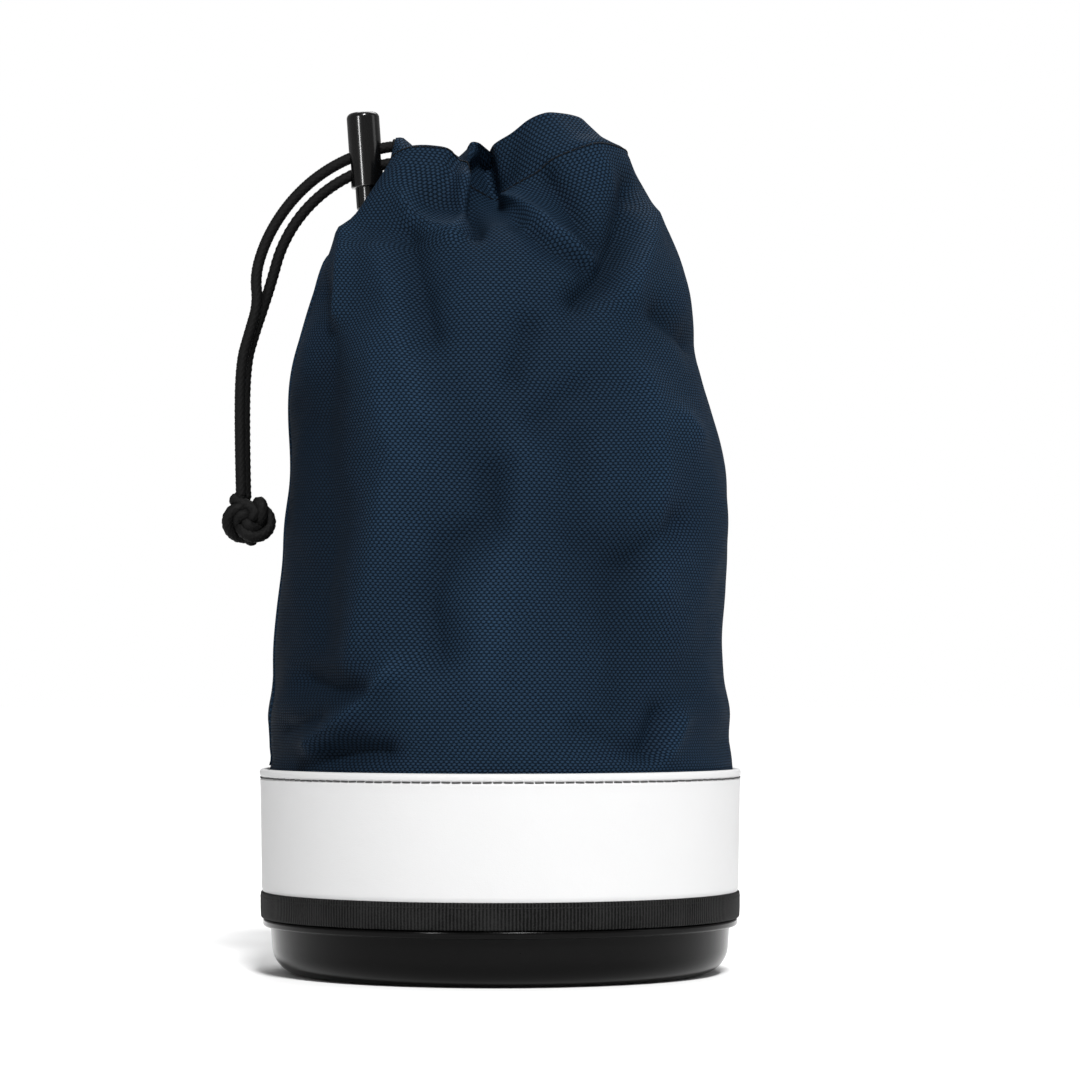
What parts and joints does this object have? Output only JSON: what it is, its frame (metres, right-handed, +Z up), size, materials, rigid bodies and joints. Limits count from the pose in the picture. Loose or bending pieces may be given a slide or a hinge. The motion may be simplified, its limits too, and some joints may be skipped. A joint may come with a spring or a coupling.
{
  "type": "golf ball bag",
  "caption": "Round drawstring bag for golf practice balls: coarse fabric tube gathered by a cord with a barrel lock, on a band and a moulded base cup.",
  "frame": {"origin": "centre of the base cup's foot, on the surface the bag stands on", "axes": "+Z up along the bag, -Y towards the front, +X to the right of the front, so the cord lock is at -X"},
  "size_m": [0.2051, 0.1906, 0.3413],
  "materials": {
    "base_plastic": "moulded, glossy",
    "stiffener_sheet": "plain sheet",
    "white_leatherette": "smooth coated, fine grain",
    "dark_thread": "sewing thread",
    "black_tape": "ribbed woven tape",
    "navy_fabric": "coarse ballistic weave",
    "black_cord": "braided cord",
    "lock_plastic": "moulded, satin gloss",
    "spring_steel": "drawn wire"
  },
  "bodies": {
    "bag": {"base_cup": "base_plastic", "band_stiffener": "stiffener_sheet", "band_cover": "white_leatherette", "band_stitching": "dark_thread", "binding_tape": "black_tape", "binding_stitching": "dark_thread", "body_shell": "navy_fabric", "side_seam": "navy_fabric", "hem_channel": "navy_fabric", "hem_stitching": "dark_thread", "drawcord_hem_run": "black_cord", "drawcord_tail_upper": "black_cord", "drawcord_tail_lower": "black_cord", "end_knot": "black_cord"},
    "cord_lock": {"lock_barrel": "lock_plastic", "lock_spring": "spring_steel"},
    "lock_button": {"lock_plunger": "lock_plastic"}
  },
  "joints": [
    {"name": "lock_travel", "type": "hinge", "parent": "bag", "child": "cord_lock", "pos_m": [-0.035, 0, 0.265], "axis": [0, -1, 0], "range_deg": [0, 30]},
    {"name": "plunger_press", "type": "slide", "parent": "cord_lock", "child": "lock_button", "axis": [-0.0698, 0, 0.9976], "range_m": [0, 0.0035], "stiffness_N_per_m": 500, "springref_m": -0.003, "deforming": ["lock_spring"]}
  ]
}
